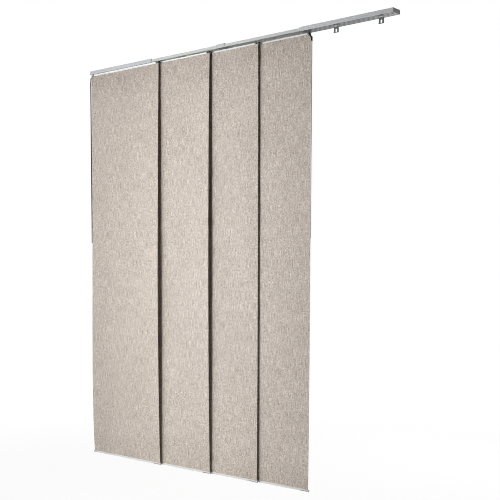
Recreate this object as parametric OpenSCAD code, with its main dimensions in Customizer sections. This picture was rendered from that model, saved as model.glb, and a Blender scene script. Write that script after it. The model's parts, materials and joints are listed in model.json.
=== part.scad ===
// Extending panel track blind: four cloth panels that slide side by side in a telescoping track.
// +X runs along the track, +Y towards the window, +Z up. The origin is the middle of the top face.

/* [Track] */
// Length of the track with both sleeves pulled out, over the end caps
track_len = 2184; // [1900:1:2600]
// Length of inner rail that stays in each sleeve when it is pulled out
sleeve_overlap = 30.5; // [20:0.5:80]
// Length of the joiner in the middle
joiner_len = 61; // [40:1:90]
// Spacing of the glide channels, front to back
channel_pitch = 16.2; // [15.5:0.1:20]
// Wall of the outer profile
wall = 1.2; // [1:0.1:1.5]
// Width of the slot under each channel
slot_w = 6; // [5.6:0.1:6.4]
// Width of the rib along each side of a slot, which the gliders run on
rib_w = 1.2; // [1:0.1:1.5]
// Height of the slim inner rails
inner_h = 16; // [14:0.5:20]
// Wall of the inner rails
inner_wall = 1; // [0.8:0.1:1.2]
// Thickness of the lips of the inner rails
inner_lip = 0.8; // [0.6:0.1:1.2]
// Depth of the bracket groove along the top of each sleeve
groove_h = 1.8; // [1.5:0.1:3]
// Reach of the lips over the bracket groove
groove_lip = 5; // [3:0.5:8]
// Thickness of the cover plate of an end cap
end_cap_t = 3; // [2:0.5:6]
// Length of the plugs on an end cap
plug_len = 6; // [4:0.5:10]

/* [Hangers] */
// Distance between the two hangers of one panel
hanger_spacing = 255; // [150:1:350]
// Length of a glider's head inside the channel
head_l = 24; // [16:1:40]
// Width of a glider's head
head_w = 11.6; // [11:0.1:11.8]
// Height of a glider's head
head_h = 11; // [6:0.5:12]
// Width of the neck that passes the slot
neck_w = 4.4; // [3:0.1:5]
// Length of the neck along the track
neck_l = 14; // [8:1:14]
// Length of a glider's foot along the track
foot_l = 18; // [14:0.5:24]
// Width of a glider's foot, front to back
foot_w = 7; // [6:0.5:8]
// Height of a glider's foot
foot_h = 6.6; // [5:0.1:9]
// Width of a clip
clip_w = 28.7; // [24:0.1:36]
// Drop of a clip below the foot
clip_drop = 30.3; // [26:0.1:40]
// Sheet thickness of a clip
clip_t = 1.2; // [0.8:0.1:1.6]
// Width of the window in a clip
window_w = 9.2; // [6:0.1:14]
// Height of the window in a clip
window_h = 15.5; // [12:0.5:20]
// Distance from the track's right end to the nearer spare hanger
spare_inset = 78; // [50:1:150]
// Distance between the two spare hangers
spare_spacing = 260; // [100:1:350]

/* [Panels] */
// Width of a panel's cloth
panel_w = 597; // [560:1:620]
// Drop from the top of the cloth to the foot of the bottom bar
panel_drop = 2438; // [1500:1:3000]
// Thickness of the cloth with its backing
fabric_t = 1; // [0.6:0.1:1.2]
// Most that a cloth's side edges curl forward of its own plane
edge_curl = 16; // [0:0.5:18]
// Overlap of neighbouring panels
panel_overlap = 259.5; // [200:0.5:300]
// Distance from the track's left end to the first cloth
first_inset = 11; // [2:0.5:30]
// Sheet thickness of a carrier profile
carrier_t = 1.5; // [1:0.1:2]
// Distance from a cloth's side edge to the end of its carrier
carrier_inset = 24; // [20:1:40]
// Height of the hook and loop tape
tape_h = 20; // [10:0.5:21]

/* [Bottom bar] */
// Height of a bottom bar
bar_h = 12; // [10:0.5:20]
// Thickness of a bottom bar
bar_t = 6; // [5.6:0.1:8]
// Depth of the slot that grips the cloth
bar_slot_h = 4.5; // [3:0.5:5]
// Reach of a bar past the side edge of the cloth
bar_reach = 3.3; // [1:0.1:6]
// Length of a bar's end cap
bar_cap_len = 26; // [15:1:40]
// Wall of a bar's end cap
bar_cap_wall = 1; // [0.8:0.1:1.5]
// Length of the cut-out beside the right end cap
notch_len = 30; // [10:1:60]

/* [Wands] */
// Length of a wand's rod
wand_len = 1048; // [500:1:1500]
// Diameter of a wand's rod
wand_d = 7; // [6:0.1:8]
// Distance from a cloth's side edge out to the rod's axis
wand_out = 6; // [5.6:0.1:12]
// Drop from the eye to the top of the socket
link_drop = 20; // [14:1:40]
// Height of the socket that holds the rod
socket_h = 22; // [14:1:40]
// Diameter of the eye in each carrier cap
eye_d = 4; // [3:0.1:4.4]

/* [Hidden] */
$fn = 48;
// Number of channels and of panels
channels = 4;
// Overrun of all cuts
over = 0.5;
// Running clearance between pieces that slide on each other
run_gap = 0.3;
// Clearance between pieces that are fitted together and stay there
seat_gap = 0.1;
// Sideways clearance between a rib and the inner rail's lip
rib_gap = 0.4;
// Radius of the outer profile's long edges
profile_r = 0.8;

// Levels of the track profile, from its foot up
track_h = wall + run_gap + inner_h + run_gap + wall + groove_h + wall;
track_depth = channels * channel_pitch + wall;
channel_w = channel_pitch - wall;
rail_bottom = -track_h;
lip_top = rail_bottom + wall;
inner_bottom = lip_top + run_gap;
roof_bottom = inner_bottom + inner_h + run_gap;
web_top = roof_bottom + wall;
glide_level = inner_bottom + inner_lip;
groove_w = track_depth - 2 * wall;
mouth_w = groove_w - 2 * groove_lip;

// Inner rails and sleeves along the track
inner_w = channel_w - 2 * run_gap;
inner_slot_w = slot_w + 2 * rib_w + 2 * rib_gap;
end_gap = 1;
collapsed_len = track_len / 2 + joiner_len / 2 + sleeve_overlap + end_cap_t + plug_len + end_gap;
inner_len = collapsed_len - 2 * (end_cap_t + plug_len + end_gap);
sleeve_len = (collapsed_len - joiner_len) / 2 - end_cap_t;
end_boss_d = 10;
end_rim = 1.6;
end_recess = 0.8;

// Screws that hold the joiner to the inner rails
screw_d = 3;
screw_head_d = 5.6;
screw_head_h = 1.6;
screw_reach = 1;
screw_sink = 0.2;
screw_inset_share = 0.2;
screw_x = joiner_len * (1 - 2 * screw_inset_share) / 2;

// Levels of a hanger, from the track down
head_r = 4;
foot_r = 2;
foot_gap = 0.6;
tab_wall = 2.3;
tab_h_share = 0.65;
window_r = 1.5;
tip_h = 2.4;
clip_rim = 5;
head_bottom = glide_level + run_gap;
foot_bottom = rail_bottom - foot_gap - foot_h;
clip_bottom = foot_bottom - clip_drop;
tab_w = foot_l - 2 * tab_wall;
tab_h = foot_h * tab_h_share;

// Levels and depths of a carrier, measured from its channel's middle
carrier_gap = 1.2;
carrier_top = rail_bottom - carrier_gap;
carrier_web_top = foot_bottom - seat_gap;
carrier_web_bottom = carrier_web_top - carrier_t;
carrier_bottom = clip_bottom + clip_t;
plate_back = -clip_t / 2;
plate_front = plate_back - carrier_t;
lip_back = -foot_w / 2 - seat_gap;
panel_front = lip_back - carrier_t;
fabric_back = panel_front + fabric_t;
tape_t = plate_front - fabric_back;
fabric_top = carrier_web_bottom - seat_gap;
tape_top = fabric_top - tip_h;

// Carrier caps
cap_edge_gap = 3;
cap_tongue_len = 12;
cap_tongue_share = 0.6;
carrier_cap_len = carrier_inset - cap_edge_gap;
eye_in = carrier_inset / 2;
eye_z = (carrier_top + carrier_web_bottom) / 2;

// Cloth and bottom bar
curl_rows = 14;
curl_columns = 10;
// Curl of each panel's left and right edge, as shares of the most
curl_left_shares = [0.9, 0.8, 0, 0];
curl_right_shares = [1, 0.82, 0, -0.4];
// Where each edge curls most: above the middle below 1 and under it above 1
curl_left_skew_shares = [3, 1.25, 1, 1];
curl_right_skew_shares = [1.25, 1, 1, 1.25];
curl_power_share = 2;
curl_flat_share = 0.7;
bar_bottom = fabric_top - panel_drop;
bar_top = bar_bottom + bar_h;
bar_wall = 1.2;
bar_cap_drop = 1;
bar_cap_step = 1;
core_gap = 0.2;
core_w = bar_t - 2 * bar_wall - 2 * core_gap;
core_share = 0.6;
core_h = (bar_h - bar_slot_h) * core_share;
slot_gap = 0.2;
bar_y = (panel_front + fabric_back) / 2;
fabric_bottom = bar_top - bar_slot_h + slot_gap;
curl_top = carrier_bottom;

// Wands
pin_gap = 0.1;
pin_head_d = 5.4;
pin_head_t = 1.2;
arm_t = 3;
arm_gap = 0.4;
arm_w = 7;
socket_wall = 1;
socket_floor = 3;
rod_gap = 0.1;
rod_y = panel_front - arm_gap - arm_t / 2;
socket_top = eye_z - link_drop;
rod_top = socket_top - socket_floor;
rod_bottom = rod_top - wand_len;

// Where each panel hangs: the share of the overlap that it keeps with the panel before it
overlap_shares = [0, 0.8, 1, 1];
spare_channel = 2;
wand_left_panel = 1;
wand_right_panel = channels;

function channel_y(i) = (i - (channels + 1) / 2) * channel_pitch;
function overlap_before(i) = i == 1 ? 0 : overlap_before(i - 1) + panel_overlap * overlap_shares[i - 1];
function panel_x(i) = -track_len / 2 + first_inset + (i - 1) * panel_w - overlap_before(i);
function panel_mid(i) = panel_x(i) + panel_w / 2;
function spare_x(side) = track_len / 2 - spare_inset - (side < 0 ? spare_spacing : 0);
// How far the cloth of panel i curls at a place across it, from -1 to 1, and a share down its free height
function side_share(i, across) = across < 0 ? curl_left_shares[i - 1] : curl_right_shares[i - 1];
function side_skew(i, across) = across < 0 ? curl_left_skew_shares[i - 1] : curl_right_skew_shares[i - 1];
function bow_at(i, across, down) = pow(max(0, sin(180 * pow(down, side_skew(i, across)))), curl_flat_share);
function curl_at(i, across, down) = -edge_curl * side_share(i, across)
    * pow(abs(across), curl_power_share) * bow_at(i, across, down);

PANEL_PIECES = [
    "carrier", "carrier_caps", "hook_tape", "gliders", "clips", "fabric",
    "bottom_bar", "weight_core", "bar_caps"
];

// Extrudes a section drawn in Y and Z along X, from x for a length
module along_x(x, length) {
    translate([x, 0, 0])
        rotate([90, 0, 90])
            linear_extrude(height = length)
                children();
}

// Extrudes an outline drawn in X and Z along Y, from y for a depth
module along_y(y, depth) {
    translate([0, y + depth, 0])
        rotate([90, 0, 0])
            linear_extrude(height = depth)
                children();
}

// Rectangle with round corners, from its low corner
module round_rect(w, h, r) {
    translate([r, 0]) square([w - 2 * r, h]);
    translate([0, r]) square([w, h - 2 * r]);
    for (x = [r, w - r])
        for (y = [r, h - r])
            translate([x, y]) circle(r = r);
}

module quarter_round(r) {
    intersection() {
        circle(r = r);
        square([r, r]);
    }
}

// Outside of the track, with four channels, their slots and the ribs that gliders run on
module channel_section() {
    difference() {
        translate([-track_depth / 2, rail_bottom]) round_rect(track_depth, track_h, profile_r);
        for (i = [1:channels]) {
            translate([channel_y(i) - channel_w / 2, lip_top]) square([channel_w, roof_bottom - lip_top]);
            translate([channel_y(i) - slot_w / 2, rail_bottom - over]) square([slot_w, wall + 2 * over]);
        }
    }
    for (i = [1:channels])
        for (y = [-slot_w / 2 - rib_w, slot_w / 2])
            translate([channel_y(i) + y, rail_bottom]) square([rib_w, glide_level - rail_bottom]);
}

module sleeve_section() {
    difference() {
        channel_section();
        translate([-groove_w / 2, web_top]) square([groove_w, groove_h]);
        translate([-mouth_w / 2, web_top]) square([mouth_w, groove_h + wall + over]);
    }
}

module inner_section(i) {
    translate([channel_y(i), inner_bottom])
        difference() {
            translate([-inner_w / 2, 0]) square([inner_w, inner_h]);
            translate([inner_wall - inner_w / 2, inner_lip])
                square([inner_w - 2 * inner_wall, inner_h - inner_lip - inner_wall]);
            translate([-inner_slot_w / 2, -over]) square([inner_slot_w, inner_lip + 2 * over]);
        }
}

// Puts a copy of a screw or its hole on each side of the joiner, over channel i
module at_screws(i) {
    for (side = [-1, 1])
        translate([side * screw_x, channel_y(i), 0]) children();
}

module screw_shape(gap, up) {
    translate([0, 0, roof_bottom - run_gap - inner_wall - screw_reach])
        cylinder(d = screw_d + 2 * gap, h = -roof_bottom + run_gap + inner_wall + screw_reach - screw_sink);
    translate([0, 0, -screw_sink - screw_head_h])
        cylinder(d1 = screw_d + 2 * gap, d2 = screw_head_d + 2 * gap, h = screw_head_h);
    translate([0, 0, -screw_sink])
        cylinder(d = screw_head_d + 2 * gap, h = up);
}

module centre_joiner() {
    color("silver")
        difference() {
            along_x(-joiner_len / 2, joiner_len) channel_section();
            for (i = [1:channels]) at_screws(i) screw_shape(seat_gap, screw_sink + over);
        }
}

module joiner_screws() {
    color("dimgray")
        for (i = [1:channels]) at_screws(i) screw_shape(0, screw_sink / 2);
}

module inner_rail(i) {
    color("gainsboro")
        difference() {
            along_x(-inner_len / 2, inner_len) inner_section(i);
            at_screws(i)
                translate([0, 0, roof_bottom - run_gap - inner_wall - over])
                    cylinder(d = screw_d + 2 * seat_gap, h = inner_wall + 2 * over);
        }
}

// A sleeve, drawn for the left end and mirrored for the right one
module sleeve(side) {
    color("silver")
        mirror([side > 0 ? 1 : 0, 0, 0])
            along_x(end_cap_t - track_len / 2, sleeve_len) sleeve_section();
}

module end_cap(side) {
    plug_w = channel_w - 2 * run_gap;
    plug_h = roof_bottom - glide_level - 2 * run_gap;
    color("lightgray")
        mirror([side > 0 ? 1 : 0, 0, 0])
            translate([-track_len / 2, 0, 0]) {
                difference() {
                    along_x(0, end_cap_t)
                        translate([-track_depth / 2, rail_bottom]) round_rect(track_depth, track_h, profile_r);
                    along_x(-over, end_recess + over)
                        translate([end_rim - track_depth / 2, rail_bottom + end_rim])
                            round_rect(track_depth - 2 * end_rim, track_h - 2 * end_rim, profile_r);
                }
                translate([0, 0, rail_bottom / 2]) rotate([0, 90, 0]) cylinder(d = end_boss_d, h = end_cap_t);
                for (i = [1:channels])
                    translate([end_cap_t, channel_y(i) - plug_w / 2, glide_level + run_gap])
                        cube([plug_len, plug_w, plug_h]);
            }
}

// One moulded glider: a head in the channel, a neck through the slot and a foot that holds the clip
module glider(x, i) {
    translate([x, channel_y(i), 0]) {
        translate([-head_l / 2, -head_w / 2, head_bottom])
            linear_extrude(height = head_h)
                round_rect(head_l, head_w, head_r);
        translate([-neck_l / 2, -neck_w / 2, foot_bottom + tab_h + over])
            cube([neck_l, neck_w, head_bottom - foot_bottom - tab_h]);
        difference() {
            translate([-foot_l / 2, -foot_w / 2, foot_bottom])
                linear_extrude(height = foot_h)
                    round_rect(foot_l, foot_w, foot_r);
            translate([-tab_w / 2 - seat_gap, -clip_t / 2 - seat_gap, foot_bottom - over])
                cube([tab_w + 2 * seat_gap, clip_t + 2 * seat_gap, tab_h + over]);
        }
    }
}

// Section of a clip's foot in Y and Z: the sheet turns forward under the carrier and up again
module clip_hook_section() {
    front = plate_front - clip_t;
    translate([plate_front, clip_bottom]) square([carrier_t, clip_t]);
    translate([plate_back, carrier_bottom]) rotate(-90) quarter_round(clip_t);
    translate([plate_front, carrier_bottom]) rotate(180) quarter_round(clip_t);
    translate([front, carrier_bottom]) square([clip_t, tip_h]);
    translate([plate_back, carrier_bottom]) square([clip_t, clip_rim]);
}

// One sheet clip: a tab that fills the foot's pocket, a window and the hook that carries the panel
module clip(x, i) {
    translate([x, channel_y(i), 0]) {
        along_y(-clip_t / 2, clip_t)
            difference() {
                union() {
                    translate([-clip_w / 2, carrier_bottom])
                        square([clip_w, foot_bottom - carrier_bottom]);
                    translate([-tab_w / 2, foot_bottom - over]) square([tab_w, tab_h + over]);
                }
                translate([-window_w / 2, carrier_bottom + clip_rim / 2])
                    round_rect(window_w, window_h, window_r);
            }
        intersection() {
            along_x(-clip_w / 2, clip_w) clip_hook_section();
            union() {
                for (side = [-1, 1])
                    translate([side * (clip_w + window_w) / 4 - (clip_w - window_w) / 4, -foot_w, clip_bottom])
                        cube([(clip_w - window_w) / 2, 2 * foot_w, clip_t + tip_h]);
                translate([-clip_w / 2, -clip_t, clip_bottom])
                    cube([clip_w, 2 * clip_t, clip_t + clip_rim / 2]);
            }
        }
    }
}

module gliders(i) {
    color("whitesmoke")
        for (side = [-1, 1])
            glider(panel_mid(i) + side * hanger_spacing / 2, i);
}

module clips(i) {
    color("slategray")
        for (side = [-1, 1])
            clip(panel_mid(i) + side * hanger_spacing / 2, i);
}

// Section of a carrier in Y and Z: a plate behind the cloth, a step and a lip above the cloth
module carrier_section() {
    translate([plate_front, carrier_bottom]) square([carrier_t, carrier_web_top - carrier_bottom]);
    translate([panel_front, carrier_web_bottom]) square([plate_back - panel_front, carrier_t]);
    translate([panel_front, carrier_web_bottom]) square([carrier_t, carrier_top - carrier_web_bottom]);
}

module carrier(i) {
    color("white")
        translate([0, channel_y(i), 0])
            along_x(panel_x(i) + carrier_inset, panel_w - 2 * carrier_inset) carrier_section();
}

// A moulded cap at one end of a carrier, with an eye for a wand's link and a tongue behind the plate
module carrier_cap(i, side) {
    plate_h = carrier_web_top - carrier_bottom;
    tongue_h = plate_h * cap_tongue_share;
    translate([panel_mid(i), channel_y(i), 0])
        mirror([side > 0 ? 1 : 0, 0, 0])
            translate([cap_edge_gap - panel_w / 2, 0, 0])
                difference() {
                    union() {
                        along_x(0, carrier_cap_len) {
                            translate([plate_front, carrier_bottom])
                                square([carrier_t + clip_t, plate_h]);
                            translate([panel_front, carrier_web_bottom])
                                square([clip_t / 2 - panel_front, carrier_top - carrier_web_bottom]);
                        }
                        along_x(0, carrier_cap_len + cap_tongue_len)
                            translate([plate_back, carrier_bottom + (plate_h - tongue_h) / 2])
                                square([clip_t, tongue_h]);
                    }
                    translate([eye_in - cap_edge_gap, foot_w, eye_z])
                        rotate([90, 0, 0])
                            cylinder(d = eye_d, h = 2 * foot_w);
                }
}

module carrier_caps(i) {
    color("darkgray")
        for (side = [-1, 1]) carrier_cap(i, side);
}

module hook_tape(i) {
    color("ivory")
        translate([panel_x(i) + carrier_inset, channel_y(i) + fabric_back, tape_top - tape_h])
            cube([panel_w - 2 * carrier_inset, tape_t, tape_h]);
}

// Cloth: one bent sheet, flat where the tape and the bar hold it, whose side edges curl between them
module fabric(i) {
    levels = concat(
        [[fabric_top, 0]],
        [for (n = [0:curl_rows]) [curl_top + (bar_top - curl_top) * n / curl_rows, n / curl_rows]],
        [[fabric_bottom, 1]]
    );
    across = [for (n = [0:curl_columns]) 2 * n / curl_columns - 1];
    columns = len(across);
    count = len(levels) * columns;
    front = [for (l = levels) for (a = across) [a * panel_w / 2, curl_at(i, a, l[1]), l[0]]];
    back = [for (p = front) p + [0, fabric_t, 0]];
    cells = [for (r = [0:len(levels) - 2]) for (c = [0:columns - 2]) r * columns + c];
    sides = [for (r = [0:len(levels) - 2]) r * columns];
    ends = [for (c = [0:columns - 2]) c];
    last_row = (len(levels) - 1) * columns;
    faces = concat(
        [for (k = cells) [k, k + 1, k + columns + 1]],
        [for (k = cells) [k, k + columns + 1, k + columns]],
        [for (k = cells) [count + k, count + k + columns + 1, count + k + 1]],
        [for (k = cells) [count + k, count + k + columns, count + k + columns + 1]],
        [for (k = sides) [k, k + columns, count + k + columns]],
        [for (k = sides) [k, count + k + columns, count + k]],
        [for (k = sides) [k + columns - 1, count + k + 2 * columns - 1, k + 2 * columns - 1]],
        [for (k = sides) [k + columns - 1, count + k + columns - 1, count + k + 2 * columns - 1]],
        [for (k = ends) [k, count + k + 1, k + 1]],
        [for (k = ends) [k, count + k, count + k + 1]],
        [for (k = ends) [last_row + k, last_row + k + 1, count + last_row + k + 1]],
        [for (k = ends) [last_row + k, count + last_row + k + 1, count + last_row + k]]
    );
    color("tan")
        translate([panel_mid(i), channel_y(i) + panel_front, 0])
            polyhedron(points = concat(front, back), faces = faces);
}

// Outside of a bottom bar in Y and Z, from its foot up
module bar_outline(grow, drop, rise) {
    r = bar_t / 2 + grow;
    translate([0, r - drop]) circle(r = r);
    translate([-r, r - drop]) square([2 * r, rise - r + drop]);
}

module core_pocket(gap) {
    translate([-core_w / 2 - gap, bar_wall]) square([core_w + 2 * gap, core_h + gap]);
}

module bottom_bar(i) {
    length = panel_w + 2 * bar_reach;
    notch_end = length + bar_cap_step - bar_cap_len;
    color("gainsboro")
        translate([panel_x(i) - bar_reach, channel_y(i) + bar_y, bar_bottom])
            difference() {
                along_x(0, length)
                    difference() {
                        bar_outline(0, 0, bar_h);
                        core_pocket(core_gap);
                        translate([-fabric_t / 2 - slot_gap, bar_h - bar_slot_h])
                            square([fabric_t + 2 * slot_gap, bar_slot_h + over]);
                    }
                translate([notch_end - notch_len, -bar_t, -over])
                    cube([notch_len, bar_t, bar_wall + core_h + over]);
            }
}

module weight_core(i) {
    color("dimgray")
        translate([panel_x(i) - bar_reach, channel_y(i) + bar_y, bar_bottom])
            along_x(0, panel_w + 2 * bar_reach) core_pocket(0);
}

// A cap is a trough that slips over the bar's end and is open above for the cloth
module bar_cap(i, side) {
    end = bar_reach + bar_cap_step + bar_cap_wall;
    translate([panel_mid(i), channel_y(i) + bar_y, bar_bottom])
        mirror([side > 0 ? 1 : 0, 0, 0])
            translate([-panel_w / 2 - end, 0, 0])
                difference() {
                    along_x(0, bar_cap_len) bar_outline(seat_gap + bar_cap_wall, bar_cap_drop, bar_h - bar_cap_step);
                    along_x(bar_cap_wall, bar_cap_len) bar_outline(seat_gap, 0, bar_h + over);
                }
}

module bar_caps(i) {
    color("lightgray")
        for (side = [-1, 1]) bar_cap(i, side);
}

// The link that hangs from a carrier cap's eye and holds the rod clear of the cloth's edge
module wand_link(i, side) {
    run = eye_in + wand_out;
    fall = link_drop + arm_w / 2;
    arm_len = sqrt(run * run + fall * fall);
    pin_len = arm_gap + clip_t / 2 - panel_front + run_gap;
    color("darkslategray")
        translate([panel_mid(i), channel_y(i), 0])
            mirror([side > 0 ? 1 : 0, 0, 0])
                translate([eye_in - panel_w / 2, 0, 0])
                    difference() {
                        union() {
                            translate([0, panel_front - arm_gap - over, eye_z])
                                rotate([-90, 0, 0]) {
                                    cylinder(d = eye_d - 2 * pin_gap, h = pin_len + over);
                                    translate([0, 0, pin_len + over]) cylinder(d = pin_head_d, h = pin_head_t);
                                }
                            along_y(rod_y - arm_t / 2, arm_t) {
                                translate([0, eye_z]) circle(d = arm_w);
                                translate([-run, eye_z - fall]) circle(d = arm_w);
                                translate([0, eye_z])
                                    rotate(90 + atan2(run, -fall))
                                        translate([0, -arm_w / 2]) square([arm_len, arm_w]);
                            }
                            translate([-run, rod_y, socket_top - socket_h])
                                cylinder(d = wand_d + 2 * rod_gap + 2 * socket_wall, h = socket_h);
                        }
                        translate([-run, rod_y, socket_top - socket_h - over])
                            cylinder(d = wand_d + 2 * rod_gap, h = socket_h - socket_floor + over);
                    }
}

module wand(i, side) {
    rod_x = panel_mid(i) + side * (panel_w / 2 + wand_out);
    color("gray")
        translate([rod_x, channel_y(i) + rod_y, 0]) {
            translate([0, 0, rod_bottom + wand_d / 2]) cylinder(d = wand_d, h = wand_len - wand_d / 2);
            translate([0, 0, rod_bottom + wand_d / 2]) sphere(d = wand_d);
        }
}

module spare_glider(side) {
    color("whitesmoke") glider(spare_x(side), spare_channel);
}

module spare_clip(side) {
    color("slategray") clip(spare_x(side), spare_channel);
}

centre_joiner();
joiner_screws();
sleeve(-1);  // sleeve_left
sleeve(1);  // sleeve_right
end_cap(-1);  // end_cap_left
end_cap(1);  // end_cap_right
for (i = [1:channels]) {
    inner_rail(i);
    carrier(i);
    carrier_caps(i);
    hook_tape(i);
    gliders(i);
    clips(i);
    fabric(i);
    bottom_bar(i);
    weight_core(i);
    bar_caps(i);
}
wand_link(wand_left_panel, -1);  // wand_link_left
wand_link(wand_right_panel, 1);  // wand_link_right
wand(wand_left_panel, -1);  // wand_left
wand(wand_right_panel, 1);  // wand_right
spare_glider(-1);  // spare_glider_left
spare_glider(1);  // spare_glider_right
spare_clip(-1);  // spare_clip_left
spare_clip(1);  // spare_clip_right
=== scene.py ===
"""Looks of an extending panel track blind: finishes, cloth panels, catches, light and camera.

Lengths are in metres, apart from names that end in PX or MM, and places are in the model's own frame:
+X along the track, +Y towards the window, +Z up.
"""
import json
import math

import bpy
from mathutils import Matrix, Vector, noise


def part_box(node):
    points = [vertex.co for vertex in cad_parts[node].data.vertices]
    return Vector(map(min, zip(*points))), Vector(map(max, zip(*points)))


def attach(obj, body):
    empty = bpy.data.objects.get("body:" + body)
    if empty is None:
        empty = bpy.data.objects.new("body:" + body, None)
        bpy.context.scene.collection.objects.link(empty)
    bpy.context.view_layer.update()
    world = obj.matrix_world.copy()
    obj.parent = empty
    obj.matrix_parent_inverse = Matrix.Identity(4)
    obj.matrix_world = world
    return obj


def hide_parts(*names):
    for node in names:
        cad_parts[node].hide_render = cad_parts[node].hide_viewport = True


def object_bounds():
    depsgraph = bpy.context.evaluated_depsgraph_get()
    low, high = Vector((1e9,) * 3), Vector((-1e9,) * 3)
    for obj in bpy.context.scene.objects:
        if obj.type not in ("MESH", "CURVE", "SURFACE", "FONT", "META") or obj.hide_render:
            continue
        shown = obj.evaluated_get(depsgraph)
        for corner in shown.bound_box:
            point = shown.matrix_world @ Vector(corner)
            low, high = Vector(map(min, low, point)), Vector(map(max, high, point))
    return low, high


def srgb(red, green, blue):
    """A screen colour of 0 to 255 as a linear colour."""
    def linear(value):
        value /= 255
        return value / 12.92 if value <= 0.04045 else ((value + 0.055) / 1.055) ** 2.4
    return (linear(red), linear(green), linear(blue), 1.0)


# Camera: the view of the photograph, in pixels of its square frame, degrees and metres
IMAGE_PX = 500
FOCAL_PX = 912.681
CENTRE_PX = (188.012, 326.561)
FILTER_PX = 1.0
SENSOR_MM = 36.0
CAMERA_PLACE = Vector((3.373675, -4.031410, -1.229256))
CAMERA_YAW = 42.16168
CAMERA_PITCH = -3.96677
CAMERA_ROLL = -0.13220

# Cloth panels
PANELS = (1, 2, 3, 4)
CLOTH_THICKNESS = 0.001
CLOTH_COLUMNS = 60
CLOTH_ROWS = 180
CREASE_DEGREES = 45
# Kinds of faces on a cloth, in the order of its finishes
FRONT, BACK, CUT_EDGE = range(3)
# How far each cloth's top edge lies below that of its solid
CLOTH_SAGS = (0.0035, 0.001, 0.001, 0.001)
# The most that a side edge bends forward, and the share of it at each panel's edges
EDGE_CURL = 0.016
CURL_LEFT_SHARES = (0.9, 0.8, 0.0, 0.0)
CURL_RIGHT_SHARES = (1.0, 0.82, -0.2, -0.4)
# Skew of each edge: at 1 it bends most in its middle, below 1 higher up and above 1 lower down
CURL_LEFT_SKEWS = (3.0, 1.25, 1.0, 1.0)
CURL_RIGHT_SKEWS = (1.25, 1.0, 0.8, 1.25)
# Powers that shape the curl: towards the edge, and along it
CURL_POWER = 2
BOW_POWER = 0.7
# A slight ripple, which differs from panel to panel
RIPPLE = 0.0007
RIPPLE_SIZE = 0.28
RIPPLE_SHIFT = 3

# Weave: the size of each kind of speck in X, Y and Z, and its share in the tone
ENDLESS = 1000.0
WARP_SIZE = (0.0026, ENDLESS, 0.06)
SLUB_SIZE = (0.0026, ENDLESS, 0.011)
WEFT_SIZE = (0.012, ENDLESS, 0.003)
CLOUD_SIZE = (0.16, ENDLESS, 0.22)
ENDS_SIZE = (0.0009, ENDLESS, 0.02)
PICKS_SIZE = (0.014, ENDLESS, 0.0009)
WARP_TONE = 0.27
SLUB_TONE = 0.31
WEFT_TONE = 0.11
CLOUD_TONE = 0.03
ENDS_TONE = 0.14
PICKS_TONE = 0.14
# Painted shade: the cloth is a little darker towards its hems
HEM_SHADE_REACH = 0.22
TOP_HEM_SHADE = 0.02
BOTTOM_HEM_SHADE = 0.014
# Relief of the weave: even ridges, which wander a little, and the uneven yarns
YARN_PITCH = 0.0011
YARN_WANDER = 0.6
RIDGE_RELIEF = 0.3
WARP_RELIEF = 0.25
WEFT_RELIEF = 0.15
WEAVE_DEPTH = 0.0002
# A wave texture of scale 1 turns by this many radians in a metre
WAVE_RADIANS = 20

# Finishes: noise lies mostly between a low and a high value, around its mean
GRAIN_LOW = 0.3
GRAIN_HIGH = 0.7
GRAIN_MEAN = 0.5
# Spark grain of moulded plastic: its size, also on the rods, and its depth
SPARK_SIZE = 0.0006
ROD_SPARK_SIZE = 0.0012
SPARK_DEPTH = 0.00005
# Metal: the size of its lines, clouds and streaks in X, Y and Z, and their shares in the tone of drawn metal
LINES_SIZE = (0.35, 0.0006, 0.0006)
METAL_CLOUD_SIZE = (0.08, 0.02, 0.02)
STREAK_SIZE = (0.02, 0.002, 0.002)
LINES_TONE = 0.6
METAL_CLOUD_TONE = 0.4
# The grain's value where the pile of the tape has its full colour
PILE_FULL = 0.65
# Specular level of what reflects little
DULL = 0.1
# A face counts as an end where its normal's share along the track rises from one to the other
END_FROM = 0.8
END_FULL = 0.95
# Colour of the shade painted on end faces that look along the track
PAINTED_END_SHADE = srgb(52, 53, 55)
# Sockets of a mix node that are for colours, by number because others have the same names
MIX_SHARE = 0
MIX_FIRST = 6
MIX_SECOND = 7
MIX_RESULT = 2

# Shade painted dark round the caps' eyes and on the caps' ends, in the catches' own black: distance from the
# end of a pair, level, radius and soft rim
PAINTED_SHADE_AND_CATCH_BLACK = srgb(16, 16, 17)
EYE_INSET = 0.009
EYE_LEVEL = -0.027
EYE_SHADE_RADIUS = 0.0046
EYE_SHADE_RIM = 1.15
# The middle of a box, as a share of its length
BOX_MIDDLE = 0.5

# Catches on the right ends of the carriers: plain blocks, in place of a form that isn't known
CATCH_PANELS = (1, 2, 3)
CATCH_LENGTH = 0.015
CATCH_HALF_HEIGHT = 0.0039
CATCH_BEVEL_SHARE = 0.5
CATCH_FRONT_INSET = 0.0003
CATCH_REAR_INSET = 0.002

# Stage
FLOOR_DROP = 0.25
FLOOR_HALF = 14.0
FLOOR_NEAR = 1.6
FLOOR_FAR = 4.0
FLOOR_GLOW = 0.94
FLOOR_COLOR = (0.8, 0.8, 0.8, 1.0)
AMBIENT = 0.06
AMBIENT_COLOR = (1.0, 0.9, 0.78, 1.0)
WHITE = (1.0, 1.0, 1.0, 1.0)

# Lamps: place, target, width and height in metres, spread in degrees, power in watts
LAMPS = {
    "front_key": {"place": (-1.326, -5.138, -0.93), "target": (0.0, 0.0, -1.2),
                  "size": (0.37, 3.5), "spread": 37, "power": 11.8},
    "side_key": {"place": (-1.942, -1.846, -0.95), "target": (0.296, 0.0, -1.25),
                 "size": (2.2, 3.5), "spread": 117, "power": 28.8},
    "back_fill": {"place": (0.6, 3.2, -0.9), "target": (0.0, 0.0, -1.2),
                  "size": (2.4, 2.4), "spread": 180, "power": 120.0},
}


def shade_of(color, factor):
    """A colour made lighter or darker by a factor."""
    return tuple(min(1.0, value * factor) for value in color[:3]) + (1.0,)


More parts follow.
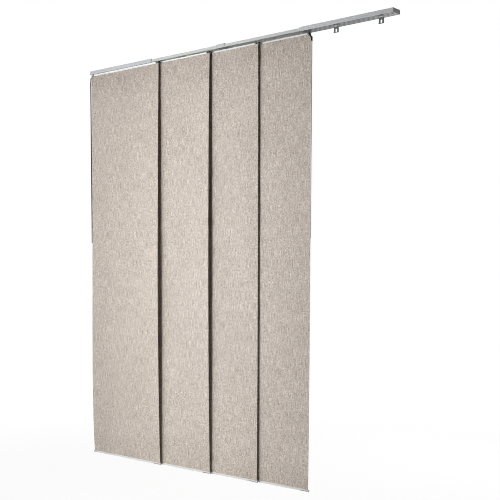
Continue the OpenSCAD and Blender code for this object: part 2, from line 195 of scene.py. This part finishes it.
class Finish:
    """A material in the making: its node tree, its shader and short ways to add nodes."""

    def __init__(self, name, color, roughness, metallic=0.0, specular=0.5):
        self.material = bpy.data.materials.new(name)
        self.material.use_nodes = True
        self.tree = self.material.node_tree
        self.shader = self.tree.nodes["Principled BSDF"]
        self.shader.inputs["Base Color"].default_value = color
        self.shader.inputs["Roughness"].default_value = roughness
        self.shader.inputs["Metallic"].default_value = metallic
        self.shader.inputs["Specular IOR Level"].default_value = specular

    def put(self, socket, value):
        """Sets a socket to a number or colour, or links it to another node's output."""
        if isinstance(value, bpy.types.NodeSocket):
            self.tree.links.new(value, socket)
        else:
            socket.default_value = value

    def place(self, kind="Object"):
        """Where a point lies on its object, in metres or, when generated, as shares of its box."""
        return self.tree.nodes.new("ShaderNodeTexCoord").outputs[kind]

    def grain(self, size, detail=2.0, seed=0.0):
        """Noise whose specks have this size in X, Y and Z."""
        scale = self.tree.nodes.new("ShaderNodeMapping")
        scale.inputs["Scale"].default_value = [1 / length for length in size]
        scale.inputs["Location"].default_value = (seed, seed, seed)
        speck = self.tree.nodes.new("ShaderNodeTexNoise")
        speck.inputs["Scale"].default_value = 1.0
        speck.inputs["Detail"].default_value = detail
        self.put(scale.inputs["Vector"], self.place())
        self.put(speck.inputs["Vector"], scale.outputs["Vector"])
        return speck.outputs["Fac"]

    def even_grain(self, size, detail=2.0):
        """Noise whose specks have the same size each way."""
        return self.grain((size, size, size), detail)

    def ridges(self, pitch, axis):
        """Ridges across an axis, such as the yarns of a weave."""
        wave = self.tree.nodes.new("ShaderNodeTexWave")
        wave.bands_direction = axis
        wave.inputs["Scale"].default_value = math.tau / (WAVE_RADIANS * pitch)
        wave.inputs["Distortion"].default_value = YARN_WANDER
        self.put(wave.inputs["Vector"], self.place())
        return wave.outputs["Fac"]

    def calc(self, operation, *values):
        """One step of arithmetic on numbers or outputs."""
        node = self.tree.nodes.new("ShaderNodeMath")
        node.operation = operation
        for socket, value in zip(node.inputs, values):
            self.put(socket, value)
        return node.outputs[0]

    def blend(self, *pairs):
        """Adds up pairs of a value and its share."""
        total = 0.0
        for value, share in pairs:
            total = self.calc("MULTIPLY_ADD", value, share, total)
        return total

    def span(self, value, low, high, start=GRAIN_LOW, end=GRAIN_HIGH):
        """Maps a value between start and end to a span of numbers."""
        node = self.tree.nodes.new("ShaderNodeMapRange")
        self.put(node.inputs["Value"], value)
        node.inputs["From Min"].default_value = start
        node.inputs["From Max"].default_value = end
        node.inputs["To Min"].default_value = low
        node.inputs["To Max"].default_value = high
        return node.outputs["Result"]

    def axes(self, vector):
        """The X, Y and Z of a vector."""
        node = self.tree.nodes.new("ShaderNodeSeparateXYZ")
        self.put(node.inputs[0], vector)
        return node.outputs

    def ends(self):
        """1 on faces that look along the track, and 0 on the others."""
        facing = self.tree.nodes.new("ShaderNodeNewGeometry").outputs["True Normal"]
        return self.span(self.calc("ABSOLUTE", self.axes(facing)["X"]), 0.0, 1.0, END_FROM, END_FULL)

    def ramp(self, value, *stops):
        """Colours by value: each stop is a place from 0 to 1 and a colour."""
        node = self.tree.nodes.new("ShaderNodeValToRGB")
        spots = node.color_ramp.elements
        while len(spots) < len(stops):
            spots.new(1.0)
        for spot, (place, color) in zip(spots, stops):
            spot.position = place
            spot.color = color
        self.put(node.inputs["Fac"], value)
        return node.outputs["Color"]

    def shades(self, value, color, darkest, lightest):
        """Shades of a colour by a grain's value, from one factor to another."""
        dark, light = shade_of(color, darkest), shade_of(color, lightest)
        return self.ramp(value, (GRAIN_LOW, dark), (GRAIN_HIGH, light))

    def mix(self, share, first, second):
        """A colour between two, by a share of 0 to 1."""
        node = self.tree.nodes.new("ShaderNodeMix")
        node.data_type = "RGBA"
        self.put(node.inputs[MIX_SHARE], share)
        self.put(node.inputs[MIX_FIRST], first)
        self.put(node.inputs[MIX_SECOND], second)
        return node.outputs[MIX_RESULT]

    def color(self, value):
        """Colours the surface by an output."""
        self.put(self.shader.inputs["Base Color"], value)

    def rough(self, value, roughness, below, above):
        """Varies the roughness by a grain's value, from below to above its own."""
        varied = self.span(value, roughness - below, roughness + above)
        self.put(self.shader.inputs["Roughness"], varied)

    def bump(self, height, depth, strength=1.0):
        """Raises the surface by a height of 0 to 1, over a depth in metres."""
        node = self.tree.nodes.new("ShaderNodeBump")
        node.inputs["Strength"].default_value = strength
        node.inputs["Distance"].default_value = depth
        self.put(node.inputs["Height"], height)
        self.put(self.shader.inputs["Normal"], node.outputs["Normal"])

    def mould_grain(self, size, roughness):
        """The fine spark grain of a mould, which varies roughness and relief."""
        spark = self.even_grain(size)
        self.rough(spark, roughness, below=0.08, above=0.1)
        self.bump(spark, SPARK_DEPTH, strength=0.5)
        return spark


def drawn_metal(name, color, roughness, metallic):
    """Extruded metal with fine lines along the track, and shade painted dark on its sawn end faces."""
    look = Finish(name, color, roughness, metallic)
    lines = look.grain(LINES_SIZE, detail=3.0)
    cloud = look.grain(METAL_CLOUD_SIZE)
    tone = look.blend((lines, LINES_TONE), (cloud, METAL_CLOUD_TONE))
    skin = look.shades(tone, color, darkest=0.93, lightest=1.05)
    # The end faces are painted dark as shade
    look.color(look.mix(look.ends(), skin, PAINTED_END_SHADE))
    look.rough(lines, roughness, below=0.06, above=0.08)
    look.bump(lines, depth=0.00002, strength=0.5)
    return look.material


def painted_metal(name, color, roughness):
    """Sprayed paint with a slight orange peel."""
    look = Finish(name, color, roughness)
    peel = look.even_grain(size=0.0015, detail=1.0)
    cloud = look.even_grain(size=0.05)
    look.color(look.shades(cloud, color, darkest=0.96, lightest=1.02))
    look.rough(peel, roughness, below=0.05, above=0.07)
    look.bump(peel, depth=0.00003, strength=0.4)
    return look.material


def moulded_plastic(name, color, roughness, spark_size=SPARK_SIZE, specular=0.5):
    """Moulded plastic with a fine spark grain."""
    look = Finish(name, color, roughness, specular=specular)
    look.mould_grain(spark_size, roughness)
    cloud = look.even_grain(size=0.012)
    look.color(look.shades(cloud, color, darkest=0.92, lightest=1.06))
    return look.material


def carrier_cap_plastic(name, color, roughness):
    """Moulded plastic with shade painted dark around each eye and on its end faces."""
    look = Finish(name, color, roughness, specular=DULL)
    spark = look.mould_grain(SPARK_SIZE, roughness)
    low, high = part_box("carrier_caps_1")
    size = high - low
    place = look.axes(look.place("Generated"))
    from_middle = look.calc("ABSOLUTE", look.calc("SUBTRACT", place["X"], BOX_MIDDLE))
    inward = look.calc("SUBTRACT", BOX_MIDDLE, from_middle)
    along = look.calc("SUBTRACT", look.calc("MULTIPLY", inward, size.x), EYE_INSET)
    above = look.calc("SUBTRACT", look.calc("MULTIPLY", place["Z"], size.z), EYE_LEVEL - low.z)
    squares = look.calc("ADD", look.calc("MULTIPLY", along, along), look.calc("MULTIPLY", above, above))
    ring = look.span(look.calc("SQRT", squares), 1.0, 0.0, EYE_SHADE_RADIUS, EYE_SHADE_RADIUS * EYE_SHADE_RIM)
    skin = look.shades(spark, color, darkest=0.94, lightest=1.05)
    # The rings round the eyes and the end faces are painted dark as shade
    look.color(look.mix(look.calc("MAXIMUM", ring, look.ends()), skin, PAINTED_SHADE_AND_CATCH_BLACK))
    return look.material


def plain_steel(name, color, roughness):
    """Rolled or plated steel with faint streaks."""
    look = Finish(name, color, roughness, metallic=0.9)
    streak = look.grain(STREAK_SIZE, detail=4.0)
    look.color(look.shades(streak, color, darkest=0.8, lightest=1.1))
    look.rough(streak, roughness, below=0.1, above=0.12)
    look.bump(streak, depth=0.00003, strength=0.4)
    return look.material


def loop_tape(name, color):
    """Hook and loop tape: a short dense pile."""
    look = Finish(name, color, roughness=0.95, specular=DULL)
    pile = look.even_grain(size=0.0008, detail=3.0)
    look.color(look.ramp(pile, (GRAIN_LOW, shade_of(color, factor=0.75)), (PILE_FULL, color)))
    look.bump(pile, depth=0.0004)
    return look.material


def woven_cloth(name, dark, middle, light, contrast):
    """Linen-look weave of mixed yarns: slubs down and across, pale flecks, fine yarn ridges and painted
    shade towards the hems.
    """
    look = Finish(name, middle, roughness=0.95, specular=0.04)
    warp = look.grain(WARP_SIZE, detail=1.0)
    slub = look.grain(SLUB_SIZE, detail=1.0, seed=5.9)
    weft = look.grain(WEFT_SIZE, detail=1.0, seed=7.3)
    cloud = look.grain(CLOUD_SIZE, seed=11.7)
    ends = look.grain(ENDS_SIZE, seed=3.1)
    picks = look.grain(PICKS_SIZE, seed=9.7)
    low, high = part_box("fabric_1")
    height = look.axes(look.place())["Z"]
    # Shade painted darker towards the top and bottom hems
    top_hem_shade = look.span(height, 0.0, -1.0, high.z - HEM_SHADE_REACH, high.z)
    bottom_hem_shade = look.span(height, -1.0, 0.0, low.z, low.z + HEM_SHADE_REACH)
    tone = look.blend((warp, WARP_TONE), (slub, SLUB_TONE), (weft, WEFT_TONE), (cloud, CLOUD_TONE),
                      (ends, ENDS_TONE), (picks, PICKS_TONE),
                      (top_hem_shade, TOP_HEM_SHADE), (bottom_hem_shade, BOTTOM_HEM_SHADE))
    reach = GRAIN_MEAN / contrast
    lowest, highest = GRAIN_MEAN - reach, GRAIN_MEAN + reach
    look.color(look.ramp(tone, (lowest, dark), (GRAIN_MEAN, middle), (highest, light)))
    warp_ridges = look.ridges(YARN_PITCH, "X")
    weft_ridges = look.ridges(YARN_PITCH, "Z")
    relief = look.blend((warp_ridges, RIDGE_RELIEF), (weft_ridges, RIDGE_RELIEF),
                        (warp, WARP_RELIEF), (weft, WEFT_RELIEF))
    look.bump(relief, WEAVE_DEPTH, strength=0.5)
    return look.material


def make_finishes():
    """Finishes of all nodes but the cloths, by material slot or, where its nodes differ, by node: the left
    and right wands and links differ only by painted light and shade.
    """
    return {
        "profile": drawn_metal("satin_aluminium", srgb(133, 135, 137), roughness=0.42, metallic=0.75),
        "inner_rail": drawn_metal("inner_rail_paint", srgb(192, 195, 194), roughness=0.5, metallic=0.05),
        "screw_steel": plain_steel("plated_screws", srgb(165, 165, 167), roughness=0.35),
        "end_cap_plastic": moulded_plastic("end_cap_grey", srgb(200, 202, 204), roughness=0.5),
        "nylon": moulded_plastic("white_nylon", srgb(226, 229, 226), roughness=0.4),
        "clip_steel": painted_metal("clip_dark", srgb(72, 80, 79), roughness=0.45),
        "carrier_white": painted_metal("carrier_white", srgb(253, 253, 253), roughness=0.4),
        "cap_plastic": carrier_cap_plastic("carrier_cap_grey", srgb(160, 161, 162), roughness=0.5),
        "hook_loop": loop_tape("hook_loop_tape", srgb(232, 231, 226)),
        "bar_white": painted_metal("bar_pale", srgb(226, 226, 227), roughness=0.4),
        "weight_steel": plain_steel("weight_core", srgb(122, 119, 115), roughness=0.5),
        "cap_light": moulded_plastic("bar_cap_light", srgb(205, 206, 207), roughness=0.5),
        # The left link and the right rod are painted light; the right link and the left rod are painted
        # shade
        "wand_link_left": moulded_plastic("wand_link_painted_light", srgb(205, 203, 200), roughness=0.5),
        "wand_link_right": moulded_plastic("wand_link_painted_shade", srgb(24, 24, 25), roughness=0.6,
                                           specular=DULL),
        "wand_left": moulded_plastic("wand_painted_shade", srgb(66, 62, 59), roughness=0.5,
                                     spark_size=ROD_SPARK_SIZE, specular=DULL),
        "wand_right": moulded_plastic("wand_painted_light", srgb(205, 198, 192), roughness=0.35,
                                      spark_size=ROD_SPARK_SIZE),
    }


def dress_nodes(frame, finishes):
    """Gives each CAD node its own finish or that of its material slot."""
    for subpart in frame["record"]["subparts"]:
        finish = finishes.get(subpart["node"], finishes.get(subpart["material_slot"]))
        node = frame["nodes"][subpart["node"]]
        if finish is not None:
            node.data.materials.clear()
            node.data.materials.append(finish)


def curl(panel, across, down):
    """How far a cloth bends out of its plane, at -1 to 1 across it and 0 to 1 down its free height."""
    shares = CURL_LEFT_SHARES if across < 0 else CURL_RIGHT_SHARES
    skews = CURL_LEFT_SKEWS if across < 0 else CURL_RIGHT_SKEWS
    reach = EDGE_CURL * shares[panel - 1] * abs(across) ** CURL_POWER
    bow = max(0.0, math.sin(math.pi * down ** skews[panel - 1]))
    return -reach * bow ** BOW_POWER


def cloth_depth(panel, across, z, free_top, free_bottom):
    """The curl of a cloth at a place, with a slight ripple in the free height."""
    down = min(1.0, max(0.0, (free_top - z) / (free_top - free_bottom)))
    loose = math.sin(math.pi * down)
    place = Vector((across + RIPPLE_SHIFT * panel, 0.0, z)) / RIPPLE_SIZE
    return curl(panel, across, down) + RIPPLE * loose * noise.noise(place)


def cloth_front(panel, low, high):
    """The points of a cloth's front, row by row from its top."""
    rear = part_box(f"hook_tape_{panel}")[0].y
    free_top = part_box(f"carrier_{panel}")[0].z
    free_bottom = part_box(f"bottom_bar_{panel}")[1].z
    middle, half = (low.x + high.x) / 2, (high.x - low.x) / 2
    points = []
    for row in range(CLOTH_ROWS + 1):
        z = high.z + (low.z - high.z) * row / CLOTH_ROWS
        for column in range(CLOTH_COLUMNS + 1):
            across = 2 * column / CLOTH_COLUMNS - 1
            y = rear - CLOTH_THICKNESS + cloth_depth(panel, across, z, free_top, free_bottom)
            points.append((middle + across * half, y, z))
    return points


def sheet_faces(count):
    """Faces of a closed sheet with so many points on each side, and the kind of each face."""
    columns = CLOTH_COLUMNS + 1
    faces, kinds = [], []
    for row in range(CLOTH_ROWS):
        for column in range(CLOTH_COLUMNS):
            above = row * columns + column
            below = above + columns
            faces.append((above, below, below + 1, above + 1))
            faces.append((count + above, count + above + 1, count + below + 1, count + below))
            kinds += [FRONT, BACK]
    top = list(range(CLOTH_COLUMNS))
    right = [row * columns + CLOTH_COLUMNS for row in range(CLOTH_ROWS)]
    bottom = [CLOTH_ROWS * columns + column for column in range(CLOTH_COLUMNS, 0, -1)]
    left = [row * columns for row in range(CLOTH_ROWS, 0, -1)]
    border = top + right + bottom + left
    for point, following in zip(border, border[1:] + border[:1]):
        faces.append((point, following, count + following, count + point))
        kinds.append(CUT_EDGE)
    return faces, kinds


def make_cloth(panel, finishes):
    """One cloth: a closed thin sheet whose front, back and cut edges have their own finish."""
    low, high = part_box(f"fabric_{panel}")
    high.z -= CLOTH_SAGS[panel - 1]
    front = cloth_front(panel, low, high)
    back = [(x, y + CLOTH_THICKNESS, z) for x, y, z in front]
    faces, kinds = sheet_faces(len(front))
    mesh = bpy.data.meshes.new(f"cloth_{panel}")
    mesh.from_pydata(front + back, [], faces)
    for finish in finishes:
        mesh.materials.append(finish)
    mesh.polygons.foreach_set("material_index", kinds)
    mesh.polygons.foreach_set("use_smooth", [kind != CUT_EDGE for kind in kinds])
    mesh.update()
    mesh.set_sharp_from_angle(angle=math.radians(CREASE_DEGREES))
    cloth = bpy.data.objects.new(f"cloth_{panel}", mesh)
    bpy.context.scene.collection.objects.link(cloth)
    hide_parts(f"fabric_{panel}")
    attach(cloth, f"panel_{panel}")


def make_cloths():
    """The cloths of all panels, with a face, a back painted darker and browner as shade, and pale cut edges.
    """
    face = woven_cloth("linen_face", dark=srgb(143, 132, 122), middle=srgb(204, 194, 185),
                       light=srgb(244, 237, 228), contrast=4.5)
    # The back is the face's cloth painted darker and browner, as shade
    back = woven_cloth("linen_back_painted_shade", dark=srgb(126, 112, 98), middle=srgb(178, 163, 147),
                       light=srgb(218, 205, 190), contrast=4.5)
    edge = woven_cloth("linen_cut_edge", dark=srgb(190, 180, 170), middle=srgb(226, 217, 209),
                       light=srgb(247, 240, 233), contrast=3.0)
    for panel in PANELS:
        make_cloth(panel, (face, back, edge))


def make_catch(panel, material):
    """A small block on the right end of a carrier, with its outer edges bevelled."""
    low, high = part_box(f"carrier_caps_{panel}")
    front = low.y + CATCH_FRONT_INSET
    rear = high.y - CATCH_REAR_INSET
    end = high.x + CATCH_LENGTH
    bevel = CATCH_HALF_HEIGHT * CATCH_BEVEL_SHARE
    outline = [
        (high.x, -CATCH_HALF_HEIGHT),
        (end - bevel, -CATCH_HALF_HEIGHT),
        (end, bevel - CATCH_HALF_HEIGHT),
        (end, CATCH_HALF_HEIGHT - bevel),
        (end - bevel, CATCH_HALF_HEIGHT),
        (high.x, CATCH_HALF_HEIGHT),
    ]
    count = len(outline)
    points = [(x, y, EYE_LEVEL + z) for y in (front, rear) for x, z in outline]
    faces = [tuple(range(count)), tuple(reversed(range(count, 2 * count)))]
    for corner in range(count):
        following = (corner + 1) % count
        faces.append((following, corner, corner + count, following + count))
    mesh = bpy.data.meshes.new(f"catch_{panel}")
    mesh.from_pydata(points, [], faces)
    mesh.materials.append(material)
    mesh.update()
    catch = bpy.data.objects.new(f"catch_{panel}", mesh)
    bpy.context.scene.collection.objects.link(catch)
    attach(catch, f"panel_{panel}")


def make_catches():
    """Catches on the panels that have another one behind them."""
    material = moulded_plastic("catch_black", PAINTED_SHADE_AND_CATCH_BLACK, roughness=0.7, specular=DULL)
    for panel in CATCH_PANELS:
        make_catch(panel, material)


def light_path_factor(tree):
    """1 for what the camera, a reflection or a view through glass sees, else 0."""
    path = tree.nodes.new("ShaderNodeLightPath")
    total = path.outputs["Is Camera Ray"]
    for name in ("Is Glossy Ray", "Is Transmission Ray"):
        node = tree.nodes.new("ShaderNodeMath")
        node.operation = "MAXIMUM"
        tree.links.new(total, node.inputs[0])
        tree.links.new(path.outputs[name], node.inputs[1])
        total = node.outputs[0]
    return total


def make_world():
    """White for the eye and in reflections, and a weak even light on the object."""
    world = bpy.data.worlds.new("studio")
    bpy.context.scene.world = world
    world.use_nodes = True
    tree = world.node_tree
    shown = tree.nodes["Background"]
    shown.inputs["Color"].default_value = WHITE
    shown.inputs["Strength"].default_value = 1.0
    lit = tree.nodes.new("ShaderNodeBackground")
    lit.inputs["Color"].default_value = AMBIENT_COLOR
    lit.inputs["Strength"].default_value = AMBIENT
    mix = tree.nodes.new("ShaderNodeMixShader")
    tree.links.new(light_path_factor(tree), mix.inputs[0])
    tree.links.new(lit.outputs[0], mix.inputs[1])
    tree.links.new(shown.outputs[0], mix.inputs[2])
    tree.links.new(mix.outputs[0], tree.nodes["World Output"].inputs["Surface"])


def floor_material():
    """Pale floor that keeps a shadow near the object and turns white with distance."""
    material = bpy.data.materials.new("pale_floor")
    material.use_nodes = True
    tree = material.node_tree
    tree.nodes.remove(tree.nodes["Principled BSDF"])
    diffuse = tree.nodes.new("ShaderNodeBsdfDiffuse")
    diffuse.inputs["Color"].default_value = FLOOR_COLOR
    glow = tree.nodes.new("ShaderNodeEmission")
    glow.inputs["Strength"].default_value = 1.0
    where = tree.nodes.new("ShaderNodeTexCoord")
    length = tree.nodes.new("ShaderNodeVectorMath")
    length.operation = "LENGTH"
    tree.links.new(where.outputs["Object"], length.inputs[0])
    share = tree.nodes.new("ShaderNodeMapRange")
    share.interpolation_type = "SMOOTHSTEP"
    share.inputs["From Min"].default_value = FLOOR_NEAR
    share.inputs["From Max"].default_value = FLOOR_FAR
    share.inputs["To Min"].default_value = FLOOR_GLOW
    tree.links.new(length.outputs["Value"], share.inputs["Value"])
    seen = tree.nodes.new("ShaderNodeMath")
    seen.operation = "MULTIPLY"
    tree.links.new(light_path_factor(tree), seen.inputs[0])
    tree.links.new(share.outputs["Result"], seen.inputs[1])
    mix = tree.nodes.new("ShaderNodeMixShader")
    tree.links.new(seen.outputs[0], mix.inputs[0])
    tree.links.new(diffuse.outputs[0], mix.inputs[1])
    tree.links.new(glow.outputs[0], mix.inputs[2])
    tree.links.new(mix.outputs[0], tree.nodes["Material Output"].inputs["Surface"])
    return material


def make_floor(level):
    """A wide square floor at a level below the object."""
    signs = [(-1, -1), (1, -1), (1, 1), (-1, 1)]
    mesh = bpy.data.meshes.new("floor")
    mesh.from_pydata([(x * FLOOR_HALF, y * FLOOR_HALF, 0.0) for x, y in signs], [], [(0, 1, 2, 3)])
    mesh.materials.append(floor_material())
    floor = bpy.data.objects.new("floor", mesh)
    floor.location.z = level
    bpy.context.scene.collection.objects.link(floor)


def make_lamp(name, place, target, size, spread, power):
    """A rectangular lamp that faces a target, with its beam's spread in degrees."""
    data = bpy.data.lights.new(name, "AREA")
    data.shape = "RECTANGLE"
    data.size, data.size_y = size
    data.spread = math.radians(spread)
    data.energy = power
    lamp = bpy.data.objects.new(name, data)
    lamp.location = place
    lamp.rotation_euler = (Vector(target) - Vector(place)).to_track_quat("-Z", "Y").to_euler()
    bpy.context.scene.collection.objects.link(lamp)


def make_camera():
    """The photograph's viewpoint."""
    yaw, pitch, roll = (math.radians(angle) for angle in (CAMERA_YAW, CAMERA_PITCH, CAMERA_ROLL))
    ahead = Vector((-math.sin(yaw) * math.cos(pitch), math.cos(yaw) * math.cos(pitch), math.sin(pitch)))
    level = Vector((math.cos(yaw), math.sin(yaw), 0.0))
    above = level.cross(ahead)
    right = level * math.cos(roll) + above * math.sin(roll)
    up = above * math.cos(roll) - level * math.sin(roll)
    data = bpy.data.cameras.new("camera")
    data.sensor_width = SENSOR_MM
    data.lens = FOCAL_PX * SENSOR_MM / IMAGE_PX
    data.shift_x = (IMAGE_PX / 2 - CENTRE_PX[0]) / IMAGE_PX
    data.shift_y = (CENTRE_PX[1] - IMAGE_PX / 2) / IMAGE_PX
    camera = bpy.data.objects.new("camera", data)
    turn = Matrix((right, up, -ahead)).transposed().to_4x4()
    camera.matrix_world = Matrix.Translation(CAMERA_PLACE) @ turn
    bpy.context.scene.collection.objects.link(camera)
    bpy.context.scene.camera = camera


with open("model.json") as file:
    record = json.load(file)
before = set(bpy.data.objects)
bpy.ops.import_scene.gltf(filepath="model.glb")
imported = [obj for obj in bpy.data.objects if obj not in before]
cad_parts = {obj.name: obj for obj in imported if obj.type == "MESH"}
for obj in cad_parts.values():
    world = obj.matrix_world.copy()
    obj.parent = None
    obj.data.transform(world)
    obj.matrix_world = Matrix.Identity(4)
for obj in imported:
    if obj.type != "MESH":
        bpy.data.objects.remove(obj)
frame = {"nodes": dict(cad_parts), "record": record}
cad_low, cad_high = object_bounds()
bpy.context.scene.view_settings.view_transform = "Standard"
bpy.context.scene.cycles.filter_width = FILTER_PX
make_camera()
make_world()
for name, lamp in LAMPS.items():
    make_lamp(name, **lamp)
make_floor(cad_low.z - FLOOR_DROP)
dress_nodes(frame, make_finishes())
make_cloths()
make_catches()
